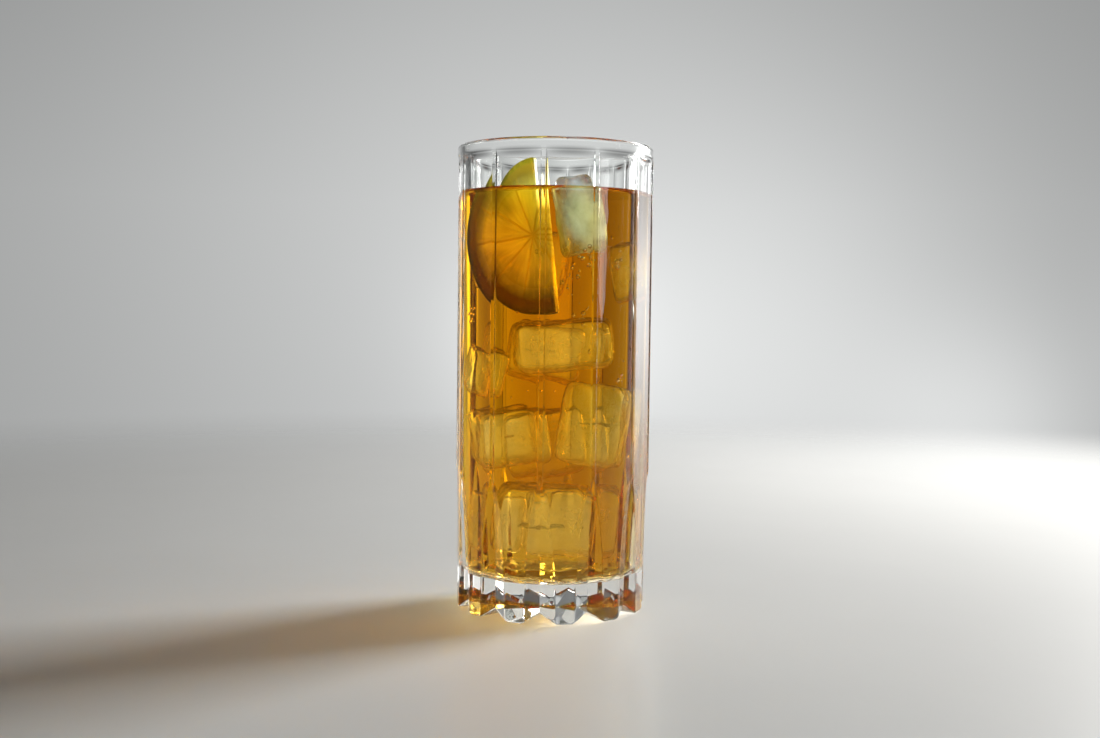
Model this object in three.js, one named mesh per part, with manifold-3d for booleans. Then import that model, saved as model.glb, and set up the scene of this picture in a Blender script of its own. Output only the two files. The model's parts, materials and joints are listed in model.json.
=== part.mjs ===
// A gin highball: a tall panelled glass of amber drink, with a lime half wheel and an ice cube
// that breaks the surface. Millimetres, +Z up, the origin at the centre of the glass's foot.
// The side that faces -Y is the front.
import * as THREE from "three";
import { RoundedBoxGeometry } from "three/addons/geometries/RoundedBoxGeometry.js";
import { mergeVertices } from "three/addons/utils/BufferGeometryUtils.js";
import Module from "manifold-3d";

const rad = THREE.MathUtils.degToRad;

// The round glass before its facets are cut.
const GLASS_HEIGHT = 155;
const GLASS_RADIUS = 33;
const LIP_THICKNESS = 2.4;
const CAVITY_FOOT_RADIUS = 27.4;
const CAVITY_FLOOR = 12.1;
const CAVITY_FILLET = 3.2;
const ROUND_STEPS = 120;
const FILLET_STEPS = 6;
const LIP_STEPS = 6;

// How far the cutters below reach past the glass.
const CUT_PAST = 2;

// Flat panels round the side, with a narrow round band left between each two.
const PANEL_COUNT = 12;
const PANEL_APOTHEM = 32.05;
const BAND_TURN = -6.5;
const PANEL_HEEL = 0.7;
const RUN_OUT_START = 150.6;
const RUN_OUT_RADIUS = 0.5;
const RUN_OUT_RISE = 1.2;
const RUN_OUT_STEPS = 6;

// Shallow V grooves that grow out of the bands towards the foot.
const GROOVE_TOP = 46;
const GROOVE_DEPTH = 3.3;
const GROOVE_SLOPE = 18;
const GROOVE_HALF_SPAN = 8;
const GROOVE_STEPS = 11;

// The star under the foot: V channels from the centre to each groove.
const STAR_HALF_WIDTH = 5.9;
const STAR_DEPTH = 3.5;
const STAR_CENTRE_SHARE = 0.3;

// What fills the glass.
const DRINK_LEVEL = 138.5;
const GAP = 0.3;

const LIME_RADIUS = 25.5;
const LIME_PAST_CORE = 2.5;
const LIME_THICKNESS = 4;
const LIME_EDGE = 0.8;
const LIME_EDGE_STEPS = 3;
const LIME_ROUND_STEPS = 28;
const LIME_TURN = 33;
const LIME_LEAN = 8;
const LIME_CENTRE = new THREE.Vector3(-4.4, -17, 124.4);

const ICE_SIZE = new THREE.Vector3(13.5, 17.5, 25);
const ICE_ROUNDING = 5;
const ICE_ROUNDING_STEPS = 4;
const ICE_MELT = 0.05;
const ICE_MELT_PITCH = 9;
const ICE_CENTRE = new THREE.Vector3(6.7, -17.6, 131);
const ICE_TILT = new THREE.Euler(rad(-4), rad(-10), rad(12));

const wasm = await Module();
wasm.setup();

// Turns a closed geometry into a solid that can be cut and joined.
function solidOf(geometry) {
  const bare = new THREE.BufferGeometry();
  bare.setAttribute("position", geometry.getAttribute("position").clone());
  bare.setIndex(geometry.getIndex());
  const merged = mergeVertices(bare, 1e-4);
  const index = merged.getIndex().array;
  const corners = [];
  for (let i = 0; i < index.length; i += 3) {
    const [a, b, c] = [index[i], index[i + 1], index[i + 2]];
    if (a !== b && b !== c && c !== a) {
      corners.push(a, b, c);
    }
  }
  const mesh = new wasm.Mesh({
    numProp: 3,
    vertProperties: new Float32Array(merged.getAttribute("position").array),
    triVerts: new Uint32Array(corners),
  });
  return new wasm.Manifold(mesh);
}

function geometryOf(solid) {
  const mesh = solid.getMesh();
  const geometry = new THREE.BufferGeometry();
  geometry.setAttribute("position", new THREE.BufferAttribute(mesh.vertProperties, 3));
  geometry.setIndex(new THREE.BufferAttribute(mesh.triVerts, 1));
  geometry.computeVertexNormals();
  return geometry;
}

// Spins a profile of (radius, height) points about the upright axis.
function turned(profile) {
  const geometry = new THREE.LatheGeometry(profile, ROUND_STEPS);
  geometry.rotateX(Math.PI / 2);
  geometry.rotateZ(rad(BAND_TURN));
  return solidOf(geometry);
}

// Points along an arc in the profile plane, from one angle to another.
function arc(centreX, centreY, radius, fromDeg, toDeg, steps) {
  const points = [];
  for (let i = 0; i <= steps; i += 1) {
    const angle = rad(fromDeg + ((toDeg - fromDeg) * i) / steps);
    const x = centreX + radius * Math.cos(angle);
    const y = centreY + radius * Math.sin(angle);
    points.push(new THREE.Vector2(x, y));
  }
  return points;
}

// Joins rings of points, each with the same count, into a closed body with capped ends.
function lofted(rings) {
  const count = rings[0].length;
  const positions = rings.flat().flatMap((point) => point.toArray());
  const index = [];
  for (let ring = 0; ring + 1 < rings.length; ring += 1) {
    for (let i = 0; i < count; i += 1) {
      const a = ring * count + i;
      const b = ring * count + ((i + 1) % count);
      index.push(a, b, b + count, a, b + count, a + count);
    }
  }
  const last = (rings.length - 1) * count;
  for (let i = 1; i + 1 < count; i += 1) {
    index.push(0, i + 1, i, last, last + i, last + i + 1);
  }
  const geometry = new THREE.BufferGeometry();
  geometry.setAttribute("position", new THREE.Float32BufferAttribute(positions, 3));
  geometry.setIndex(index);
  return geometry;
}

// Runs a cut at every band, or halfway between the bands, all round the glass.
function cutAllRound(solid, cutterGeometry, turnDeg, count) {
  let result = solid;
  for (let i = 0; i < count; i += 1) {
    const copy = cutterGeometry.clone().rotateZ(rad(turnDeg + (360 / PANEL_COUNT) * i));
    result = result.subtract(solidOf(copy));
  }
  return result;
}

// The inside of the glass, shrunk by a gap: wall from the lip down to the rounded corner.
function cavityProfile(gap, topHeight) {
  const lipRadius = GLASS_RADIUS - LIP_THICKNESS;
  const lipHeight = GLASS_HEIGHT - LIP_THICKNESS / 2;
  const filletTop = CAVITY_FLOOR + CAVITY_FILLET;
  const share = (topHeight - filletTop) / (lipHeight - filletTop);
  const topRadius = THREE.MathUtils.lerp(CAVITY_FOOT_RADIUS, lipRadius, share);
  const centreX = CAVITY_FOOT_RADIUS - CAVITY_FILLET;
  const corner = arc(centreX, filletTop, CAVITY_FILLET - gap, 0, -90, FILLET_STEPS);
  const top = new THREE.Vector2(topRadius - gap, topHeight);
  const middle = new THREE.Vector2(0, CAVITY_FLOOR + gap);
  return [top, ...corner, middle];
}

// The cutter of one flat panel, outside the panel's plane; it leaves the glass below the lip.
function panelCutter() {
  const outside = GLASS_RADIUS + CUT_PAST;
  const runOutHeight = Math.sqrt(2 * RUN_OUT_RADIUS * RUN_OUT_RISE);
  const shape = new THREE.Shape();
  shape.moveTo(outside, -CUT_PAST);
  shape.lineTo(outside, RUN_OUT_START + runOutHeight);
  for (let i = RUN_OUT_STEPS; i >= 0; i -= 1) {
    const rise = (runOutHeight * i) / RUN_OUT_STEPS;
    const bow = (rise * rise) / (2 * RUN_OUT_RADIUS);
    shape.lineTo(PANEL_APOTHEM + bow, RUN_OUT_START + rise);
  }
  shape.lineTo(PANEL_APOTHEM, PANEL_HEEL);
  shape.lineTo(PANEL_APOTHEM - PANEL_HEEL - CUT_PAST, -CUT_PAST);
  const width = GLASS_RADIUS;
  const geometry = new THREE.ExtrudeGeometry(shape, { depth: width, bevelEnabled: false });
  geometry.translate(0, 0, -width / 2);
  geometry.rotateX(Math.PI / 2);
  geometry.rotateZ(-Math.PI / 2);
  return geometry;
}

// The radius of a groove's valley: it starts at the band and follows a quarter ellipse downwards.
function valleyRadius(z) {
  const bandRadius = PANEL_APOTHEM / Math.cos(Math.PI / PANEL_COUNT);
  const share = THREE.MathUtils.clamp(z / GROOVE_TOP, 0, 1);
  return bandRadius - GROOVE_DEPTH * Math.sqrt(1 - share * share);
}

// The cutter of one V groove, on the band at the front.
function grooveCutter() {
  const outside = GLASS_RADIUS + CUT_PAST;
  const flank = GROOVE_HALF_SPAN * Math.tan(rad(GROOVE_SLOPE));
  const heights = [-CUT_PAST];
  for (let i = 0; i <= GROOVE_STEPS; i += 1) {
    heights.push(GROOVE_TOP * Math.sin((Math.PI / 2) * (i / GROOVE_STEPS)));
  }
  const rings = heights.map((z) => {
    const valley = valleyRadius(z);
    const section = [
      [0, valley],
      [-GROOVE_HALF_SPAN, valley + flank],
      [-GROOVE_HALF_SPAN, outside],
      [GROOVE_HALF_SPAN, outside],
      [GROOVE_HALF_SPAN, valley + flank],
    ];
    return section.map(([x, r]) => new THREE.Vector3(x, -r, z));
  });
  return lofted(rings);
}

// The cutter of two opposite channels of the star, deep at the rim and shallow at the centre.
function starCutter() {
  const spread = STAR_HALF_WIDTH / STAR_DEPTH;
  const reach = GLASS_RADIUS + CUT_PAST;
  const rings = [-reach, 0, reach].map((y) => {
    const share = Math.abs(y) / GLASS_RADIUS;
    const depth = STAR_DEPTH * THREE.MathUtils.lerp(STAR_CENTRE_SHARE, 1, share);
    const wide = spread * (depth + CUT_PAST);
    return [
      new THREE.Vector3(-wide, y, -CUT_PAST),
      new THREE.Vector3(0, y, depth),
      new THREE.Vector3(wide, y, -CUT_PAST),
    ];
  });
  return lofted(rings);
}

function makeGlass() {
  const lip = LIP_THICKNESS / 2;
  const profile = [
    new THREE.Vector2(0, 0),
    new THREE.Vector2(GLASS_RADIUS, 0),
    ...arc(GLASS_RADIUS - lip, GLASS_HEIGHT - lip, lip, 0, 180, LIP_STEPS),
    ...cavityProfile(0, GLASS_HEIGHT - lip).slice(1),
  ];
  const halfPitch = 180 / PANEL_COUNT;
  let glass = turned(profile);
  glass = cutAllRound(glass, panelCutter(), BAND_TURN + halfPitch, PANEL_COUNT);
  glass = cutAllRound(glass, grooveCutter(), BAND_TURN, PANEL_COUNT);
  glass = cutAllRound(glass, starCutter(), BAND_TURN, PANEL_COUNT / 2);
  return geometryOf(glass);
}

// Half a wheel of lime, cut just past its core, with its round side to the left; grown by a margin.
function limeGeometry(margin) {
  const radius = LIME_RADIUS + margin - LIME_EDGE;
  const cut = LIME_PAST_CORE + margin - LIME_EDGE;
  const start = Math.acos(cut / radius);
  const shape = new THREE.Shape();
  shape.absarc(0, 0, radius, start, 2 * Math.PI - start, false);
  shape.closePath();
  const depth = LIME_THICKNESS + 2 * margin - 2 * LIME_EDGE;
  const geometry = new THREE.ExtrudeGeometry(shape, {
    depth,
    curveSegments: LIME_ROUND_STEPS,
    bevelSize: LIME_EDGE,
    bevelThickness: LIME_EDGE,
    bevelSegments: LIME_EDGE_STEPS,
  });
  geometry.translate(0, 0, -depth / 2);
  geometry.rotateZ(rad(LIME_LEAN));
  geometry.rotateX(Math.PI / 2);
  geometry.rotateZ(rad(-LIME_TURN));
  geometry.translate(...LIME_CENTRE.toArray());
  return geometry;
}

// A half-melted cube: rounded, with soft hollows, grown all over by a margin.
function iceGeometry(margin) {
  const [wide, deep, tall] = ICE_SIZE.toArray().map((side) => side + 2 * margin);
  const geometry = new RoundedBoxGeometry(wide, deep, tall, ICE_ROUNDING_STEPS, ICE_ROUNDING + margin);
  const position = geometry.getAttribute("position");
  const point = new THREE.Vector3();
  for (let i = 0; i < position.count; i += 1) {
    point.fromBufferAttribute(position, i);
    const wave = Math.sin(point.z / ICE_MELT_PITCH + 1) + Math.cos(point.x / ICE_MELT_PITCH - 1);
    const lean = 1 + ICE_MELT * wave - ICE_MELT;
    position.setXYZ(i, point.x * lean, point.y * lean, point.z);
  }
  geometry.applyMatrix4(new THREE.Matrix4().makeRotationFromEuler(ICE_TILT));
  geometry.translate(...ICE_CENTRE.toArray());
  return geometry;
}

function makeDrink() {
  const profile = [...cavityProfile(GAP, DRINK_LEVEL)].reverse();
  profile.push(new THREE.Vector2(0, DRINK_LEVEL));
  const filled = turned(profile);
  const hollows = solidOf(limeGeometry(GAP)).add(solidOf(iceGeometry(GAP)));
  return geometryOf(filled.subtract(hollows));
}

function named(name, geometry, material) {
  const mesh = new THREE.Mesh(geometry, new THREE.MeshStandardMaterial(material));
  mesh.name = name;
  return mesh;
}

const ice = geometryOf(solidOf(iceGeometry(0)));
const lime = geometryOf(solidOf(limeGeometry(0)));
const clear = { roughness: 0.03, metalness: 0, transparent: true };
const group = new THREE.Group();
group.add(named("glass", makeGlass(), { ...clear, color: 0xe4ebe9, opacity: 0.3 }));
group.add(named("drink", makeDrink(), { ...clear, color: 0xc8860e, opacity: 0.7 }));
group.add(named("ice_cube", ice, { ...clear, color: 0xe9efee, opacity: 0.4 }));
group.add(named("lime_half_wheel", lime, { color: 0xa9a32c, roughness: 0.45, metalness: 0 }));

export default group;
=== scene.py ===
"""A gin highball: a panelled glass of amber drink with ice, bubbles and half a wheel of lime."""
import json
import math

import bmesh
import bpy
import numpy as np
from bpy.props import FloatProperty, FloatVectorProperty, IntProperty, PointerProperty
from mathutils import Matrix, Vector
from mathutils.bvhtree import BVHTree

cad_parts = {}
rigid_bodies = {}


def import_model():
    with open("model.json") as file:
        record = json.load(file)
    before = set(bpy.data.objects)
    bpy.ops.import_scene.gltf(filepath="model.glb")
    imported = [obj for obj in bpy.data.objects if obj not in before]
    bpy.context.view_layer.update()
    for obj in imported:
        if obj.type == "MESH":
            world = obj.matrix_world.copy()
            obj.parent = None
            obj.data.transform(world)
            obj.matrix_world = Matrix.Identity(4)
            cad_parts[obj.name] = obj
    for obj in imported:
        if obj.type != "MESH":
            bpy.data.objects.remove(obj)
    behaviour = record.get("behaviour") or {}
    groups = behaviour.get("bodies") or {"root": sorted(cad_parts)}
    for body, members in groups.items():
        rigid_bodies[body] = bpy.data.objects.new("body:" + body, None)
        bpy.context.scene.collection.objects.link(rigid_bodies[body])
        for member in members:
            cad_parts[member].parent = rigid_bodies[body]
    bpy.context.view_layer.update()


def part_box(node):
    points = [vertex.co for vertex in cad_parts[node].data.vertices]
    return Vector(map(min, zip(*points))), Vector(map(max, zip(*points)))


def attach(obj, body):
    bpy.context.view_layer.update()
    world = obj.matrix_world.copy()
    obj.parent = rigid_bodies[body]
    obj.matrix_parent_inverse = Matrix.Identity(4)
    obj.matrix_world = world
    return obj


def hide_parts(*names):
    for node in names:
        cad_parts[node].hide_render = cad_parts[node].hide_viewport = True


bl_info = {
    "name": "Gin Highball",
    "version": (1, 0, 0),
    "blender": (4, 5, 0),
    "location": "3D View > Sidebar > Highball",
    "description": "Builds a panelled highball glass with its drink, ice, bubbles and lime",
    "category": "Object",
}

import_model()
GLASS_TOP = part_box("glass")[1]
DRINK_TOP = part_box("drink")[1]
MM = 0.001
IMAGE_WIDTH = 1100
BODY = "root"

# Kinds of node that come up often.
MATH = "ShaderNodeMath"
VECTOR_MATH = "ShaderNodeVectorMath"
MAP_RANGE = "ShaderNodeMapRange"

# Light that a surface lets through to what lies behind it, on the way in and on the way out.
GLASS_PASSES = ((0.85, 0.87, 0.86), (0.95, 0.96, 0.95))
DRINK_PASSES = ((0.28, 0.28, 0.28), (1, 1, 1))
ICE_PASSES = ((0.94, 0.95, 0.95), (0.94, 0.95, 0.95))

# Sunk ice from the bottom up: centre and size in millimetres, turn in degrees, and the width of its crack
# as a share of its own.
SUNK_ICE = (
    ((-2.5, -8, 29), (27, 25, 27), (2, 0, 4), 0.6),
    ((6.3, 14.8, 28), (20, 15, 24), (5, 6, 6), 0),
    ((-12.3, 12.6, 27), (14, 14, 20), (-5, 8, 10), 0),
    ((-12.5, -6, 58.5), (20, 22, 18), (4, -9, 6), 0.25),
    ((11.7, -6, 62.6), (19.5, 23, 27), (-4, 9, -8), 0.4),
    ((-1, 16, 55), (23, 14, 22), (6, -9, 4), 0),
    ((2.7, -10, 89), (26.8, 22, 16.2), (4, -6, 5), 0),
    ((-19.3, 0, 79.5), (10.5, 17, 15), (8, 14, 6), 0),
    ((-1.5, 13, 86), (20, 15, 19), (-8, 14, 12), 0.4),
    ((19, 4.5, 113.5), (12, 15, 19), (5, -12, 12), 0),
    ((-7.5, 13.5, 117), (20, 16, 21), (-7, 10, -12), 0.4),
)

# The cube at the surface, as its solid lies.
TOP_ICE = (((6.7, -17.6, 131), (13.5, 17.5, 25), (-4, -10, 12), 0.4),)

# Clusters of larger bubbles that cling to the wall and the ice, centres in millimetres.
BUBBLE_CLUSTERS = (
    (10, -25.5, 118), (5, -26.5, 111), (20, -20, 116), (-25.5, -9, 99), (9, -26, 98), (21, -17, 78),
)


def linear(hex_colour):
    """Turns an sRGB hex value into linear red, green and blue."""
    channels = [int(hex_colour[i:i + 2], 16) / 255 for i in (1, 3, 5)]
    return tuple(c / 12.92 if c <= 0.04045 else ((c + 0.055) / 1.055) ** 2.4 for c in channels)


def size(name, millimetres, description):
    """A length property, given in millimetres."""
    return FloatProperty(
        name=name, description=description, default=millimetres * MM, min=0, subtype="DISTANCE",
        unit="LENGTH",
    )


def angle(name, degrees, description):
    """An angle property, given in degrees."""
    return FloatProperty(
        name=name, description=description, default=math.radians(degrees), subtype="ANGLE", unit="ROTATION"
    )


def share(name, value, description):
    """A property that holds a share of a whole."""
    return FloatProperty(name=name, description=description, default=value, min=0, max=1, subtype="FACTOR")


def count(name, number, description, least=0):
    """A property that counts things."""
    return IntProperty(name=name, description=description, default=number, min=least)


def power(name, watts, description):
    """A lamp's power in watts."""
    return FloatProperty(name=name, description=description, default=watts, min=0, precision=3, unit="POWER")


def tint(name, hex_colour, description):
    """A colour property, given as sRGB hex."""
    return FloatVectorProperty(
        name=name, description=description, default=linear(hex_colour), min=0, max=1, size=3, subtype="COLOR"
    )


class GlassSettings(bpy.types.PropertyGroup):
    """Sizes and tint of the panelled glass."""

    height: size("Height", GLASS_TOP.z / MM, "From the foot to the top of the lip")
    radius: size("Radius", GLASS_TOP.x / MM, "Outside radius of the round glass")
    lip: size("Lip", 2.4, "Thickness of the rounded lip")
    cavity_radius: size("Cavity Radius", 27.4, "Inside radius at the foot of the wall")
    cavity_floor: size("Cavity Floor", 12.1, "Height of the inside floor")
    cavity_fillet: size("Cavity Fillet", 3.2, "Rounding of the inside corner")
    panel_count: count("Panels", 12, "Flat panels round the side", 3)
    panel_apothem: size("Panel Distance", 32.05, "From the axis to the flat of a panel")
    band_turn: angle("Band Turn", -6.5, "Turn of the first band from the front")
    run_out_start: size("Run-out Start", 148.4, "Height at which the panels begin to run out")
    run_out_end: size("Run-out End", 152.4, "Height at which the panels have run out")
    bead_height: size("Bead Height", 150.9, "Height of the fine line round the lip")
    bead_depth: size("Bead Depth", 0.1, "Depth of the fine line round the lip")
    bead_half_width: size("Bead Half Width", 0.35, "Half the width of the fine line")
    groove_top: size("Groove Top", 46, "Height at which the grooves begin")
    groove_depth: size("Groove Depth", 3.3, "Depth of the grooves at the foot")
    groove_slope: angle("Groove Slope", 18, "Slope of a groove's two sides")
    star_depth: size("Star Depth", 3.5, "Height of the foot's channels at the rim")
    star_half_width: size("Star Half Width", 5.9, "Half the width of a channel at the rim")
    star_centre: share("Star Centre", 0.3, "Share of the depth left at the centre")
    foot_rounding: size("Foot Rounding", 0.7, "Rounding of the foot's outer edge")
    band_rounding: size("Band Rounding", 0.12, "Softness of the edges between bands and panels")
    rib_half_width: size("Rib Half Width", 0.7, "Half the width of a band's raised rib")
    rib_side: size("Rib Side", 0.28, "Width of a rib's sloping side")
    rib_depth: size("Rib Depth", 0.32, "Height of a rib above its panels")
    groove_rounding: size("Groove Rounding", 0.25, "Softness of the grooves' edges")
    colour: tint("Glass", "#fefffe", "Tint of the clear glass")


class DrinkSettings(bpy.types.PropertyGroup):
    """Level and colour of the drink."""

    level: size("Level", DRINK_TOP.z / MM, "Height of the drink's surface")
    reach: size("Reach", 0.1, "How far the drink reaches into glass, lime and ice")
    meniscus: size("Meniscus", 1.3, "Rise of the surface at the wall")
    meniscus_width: size("Meniscus Width", 1.6, "Width over which the surface rises")
    colour: tint("Amber", "#fbf0a8", "Colour that the drink lets through")
    density: FloatProperty(
        name="Density", description="Strength of the amber, per metre", default=220, min=0, precision=1
    )


class IceSettings(bpy.types.PropertyGroup):
    """Shape and colours of the ice."""

    rounding: share("Rounding", 0.17, "Rounding of a cube's edges as a share of its side")
    melt: size("Melt", 1.1, "Depth of the melted hollows")
    melt_size: size("Melt Size", 9, "Width of the melted hollows")
    crack: share("Crack", 0.012, "Thickness of a crack as a share of the cube's height")
    # Painted light: the cube at the surface is tinted bluish against the amber light that reaches it, the
    # sunk ice warm for the drink's amber light on it.
    cloud: tint("Cloud", "#d8e8ff", "Cloudy ice at the surface")
    sunk_cloud_amber_lit: tint("Sunk Cloud", "#fff0d0", "Sunk ice, which takes on the drink's colour")


class BubbleSettings(bpy.types.PropertyGroup):
    """Bubbles in the drink."""

    floor_count: count("Floor Bubbles", 220, "Fine bubbles round the floor")
    cluster_count: count("Cluster Bubbles", 16, "Bubbles in each cluster")
    loose_count: count("Loose Bubbles", 60, "Single bubbles")
    fine: size("Fine", 0.26, "Radius of the finest bubbles")
    coarse: size("Coarse", 0.9, "Radius of the largest bubbles")
    seed: count("Seed", 7, "Seed of the bubbles' places")


class LimeSettings(bpy.types.PropertyGroup):
    """Size, place and colours of the lime."""

    radius: size("Radius", 25.5, "Radius of the wheel")
    thickness: size("Thickness", 4, "Thickness of the slice")
    past_core: size("Past Core", 2.5, "From the core to the straight cut")
    edge: size("Edge", 0.8, "Rounding of the cut edges")
    turn: angle("Turn", 33, "Turn of the slice towards the left")
    lean: angle("Lean", 8, "Lean of the straight cut")
    centre: FloatVectorProperty(
        name="Centre", description="Middle of the core", default=(-0.0044, -0.017, 0.1244), subtype="XYZ",
        unit="LENGTH",
    )
    segments: count("Segments", 10, "Segments in a whole wheel", 4)
    relief: size("Relief", 0.25, "Bulge of the flesh between its membranes")
    rind: tint("Rind", "#867a1c", "Waxy outside of the rind")
    # The pith's tint is darker than pith is: painted shade of the opaque pith against the light from behind.
    pith: tint("Pith", "#967a27", "Pith under the rind")
    # Painted shade: the share of brightness that rind and pith keep in and just above the drink.
    drink_shade_share: share("Drink Shade", 0.13, "Share of its brightness that rind and pith keep in the drink")
    flesh: tint("Flesh", "#f0ea90", "Juice sacs")
    membrane: tint("Membrane", "#8c8040", "Membranes between the segments")


class StageSettings(bpy.types.PropertyGroup):
    """Floor, light and camera."""

    floor: tint("Floor", "#d3d3d1", "Pale floor")
    floor_solid: size("Floor Radius", 240, "Radius out to which the floor is solid")
    floor_fade: size("Floor Fade", 850, "Radius at which the floor has faded out")
    camera_distance: size("Camera Distance", 437, "From the camera to the glass's axis")
    camera_height: size("Camera Height", 101, "Height of the camera")
    camera_side: FloatProperty(
        name="Camera Side", description="Camera to the right", default=-0.001, unit="LENGTH"
    )
    camera_pitch: angle("Camera Pitch", 2.7, "How far the camera looks down")
    camera_roll: angle("Camera Roll", 0.7, "Roll of the camera")
    focal_pixels: FloatProperty(
        name="Focal", description="Focal length in image pixels", default=1284, min=1
    )
    key_power: power("Key", 15.8, "Power of the key lamp")
    strip_power: power("Strip", 0.022, "Power of the strip lamp")
    fill_power: power("Fill", 0.15, "Power of the front fill")


class HighballSettings(bpy.types.PropertyGroup):
    """All the settings of the drink."""

    glass: PointerProperty(type=GlassSettings)
    drink: PointerProperty(type=DrinkSettings)
    ice: PointerProperty(type=IceSettings)
    bubbles: PointerProperty(type=BubbleSettings)
    lime: PointerProperty(type=LimeSettings)
    stage: PointerProperty(type=StageSettings)


# Node trees and meshes


def add(tree, kind, inputs=(), out=0, **settings):
    """Adds a node with its settings and inputs, and gives back one of its outputs, or the node itself."""
    node = tree.nodes.new(kind)
    for name, value in settings.items():
        setattr(node, name, value)
    named = inputs if isinstance(inputs, dict) else dict(enumerate(inputs))
    for key, value in named.items():
        if isinstance(value, bpy.types.NodeSocket):
            tree.links.new(value, node.inputs[key])
        else:
            node.inputs[key].default_value = value
    return node if out is None else node.outputs[out]


def new_material(name):
    """A node material with nothing in it but its output."""
    material = bpy.data.materials.new(name)
    material.use_nodes = True
    material.node_tree.nodes.clear()
    return material, material.node_tree


def new_tree(name, sizes):
    """A Geometry Nodes tree with one geometry and the named sizes going in."""
    tree = bpy.data.node_groups.new(name, "GeometryNodeTree")
    tree.interface.new_socket("Geometry", in_out="INPUT", socket_type="NodeSocketGeometry")
    for label, value in sizes.items():
        socket = tree.interface.new_socket(label, in_out="INPUT", socket_type="NodeSocketFloat")
        socket.default_value = value
    tree.interface.new_socket("Geometry", in_out="OUTPUT", socket_type="NodeSocketGeometry")
    group_in = add(tree, "NodeGroupInput", out=None)
    return tree, group_in.outputs


def close_tree(tree, geometry, material):
    """Ends a tree in plain, smooth, finished geometry."""
    real = add(tree, "GeometryNodeRealizeInstances", {"Geometry": geometry})
    smooth = add(tree, "GeometryNodeSetShadeSmooth", {"Geometry": real, "Shade Smooth": True})
    finished = add(tree, "GeometryNodeSetMaterial", {"Geometry": smooth, "Material": material})
    add(tree, "NodeGroupOutput", {"Geometry": finished}, out=None)


def plain_mesh(obj):
    """Turns an object's modifiers into its own mesh."""
    bpy.context.view_layer.update()
    evaluated = obj.evaluated_get(bpy.context.evaluated_depsgraph_get())
    mesh = bpy.data.meshes.new_from_object(evaluated)
    obj.modifiers.clear()
    obj.data = mesh
    return obj


def shaped_by(tree, obj):
    """Runs a Geometry Nodes tree with its sizes on an object and keeps the result as a plain mesh."""
    modifier = obj.modifiers.new(tree.name, "NODES")
    modifier.node_group = tree
    for item in tree.interface.items_tree:
        if item.in_out == "INPUT" and item.socket_type == "NodeSocketFloat":
            modifier[item.identifier] = item.default_value
    return plain_mesh(obj)


def new_object(name, points, faces, material=None):
    """A mesh object at the origin with smooth faces."""
    mesh = bpy.data.meshes.new(name)
    mesh.from_pydata(np.asarray(points).tolist(), [], faces)
    mesh.polygons.foreach_set("use_smooth", [True] * len(mesh.polygons))
    if material:
        mesh.materials.append(material)
    mesh.validate()
    mesh.set_sharp_from_angle(angle=math.radians(40))
    obj = bpy.data.objects.new(name, mesh)
    bpy.context.scene.collection.objects.link(obj)
    return obj


def mesh_arrays(obj):
    """An object's points, outward point directions and faces."""
    mesh = obj.data
    points = np.array([v.co for v in mesh.vertices])
    normals = np.array([v.normal for v in mesh.vertices])
    faces = [tuple(p.vertices) for p in mesh.polygons]
    return points, normals, faces


def revolved(radii, heights, angles):
    """Points and faces of a profile spun about the upright axis; it starts and ends on the axis."""
    columns = len(angles)
    inner = range(1, len(radii) - 1)
    points = [(0, 0, heights[0])]
    for row in inner:
        x = radii[row] * np.sin(angles)
        y = -radii[row] * np.cos(angles)
        points.extend(zip(x, y, np.full(columns, heights[row])))
    points.append((0, 0, heights[-1]))
    last = len(points) - 1
    faces = []
    for j in range(columns):
        following = (j + 1) % columns
        faces.append((0, 1 + following, 1 + j))
        for row in range(len(inner) - 1):
            base = 1 + row * columns
            faces.append((base + j, base + following, base + columns + following, base + columns + j))
        top = last - columns
        faces.append((top + j, top + following, last))
    return np.array(points), faces


def arc(centre_x, centre_y, radius, start, end, steps):
    """Points along an arc, from one angle to another in degrees."""
    turn = np.radians(np.linspace(start, end, steps + 1))
    return list(zip(centre_x + radius * np.cos(turn), centre_y + radius * np.sin(turn)))


def cavity_profile(glass, grow, top):
    """The glass's inside, grown by a reach, from a height down to the middle of the floor."""
    fillet_top = glass.cavity_floor + glass.cavity_fillet
    lip_radius = glass.radius - glass.lip
    lip_height = glass.height - glass.lip / 2
    along = (top - fillet_top) / (lip_height - fillet_top)
    top_radius = glass.cavity_radius + (lip_radius - glass.cavity_radius) * along
    down = np.array([0, 0.002, 0.01, 0.04, 0.3, 0.6, 0.9, 0.98, 0.997])
    narrowing = top_radius - glass.cavity_radius
    wall = [(top_radius + grow - narrowing * d, top - (top - fillet_top) * d) for d in down]
    turn_radius = glass.cavity_fillet + grow
    corner = arc(glass.cavity_radius - glass.cavity_fillet, fillet_top, turn_radius, 0, -90, 10)
    flat = corner[-1][0]
    inward_shares = (0.985, 0.94, 0.8, 0.6, 0.4, 0.2, 0)
    floor = [(flat * s, glass.cavity_floor - grow) for s in inward_shares]
    return [*wall, *corner, *floor]


# Materials


def lets_lamps_through(tree, surface, going_in, going_out):
    """Clear matter whose shadow is light and tinted, as the light that it really passes on."""
    light_path = add(tree, "ShaderNodeLightPath", out="Is Shadow Ray")
    leaving = add(tree, "ShaderNodeNewGeometry", out="Backfacing")
    passed = add(tree, "ShaderNodeMix", {
        "Factor": leaving, "A": (*going_in, 1), "B": (*going_out, 1),
    }, out="Result", data_type="RGBA")
    clear = add(tree, "ShaderNodeBsdfTransparent", {"Color": passed})
    return add(tree, "ShaderNodeMixShader", (light_path, surface, clear))


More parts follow.
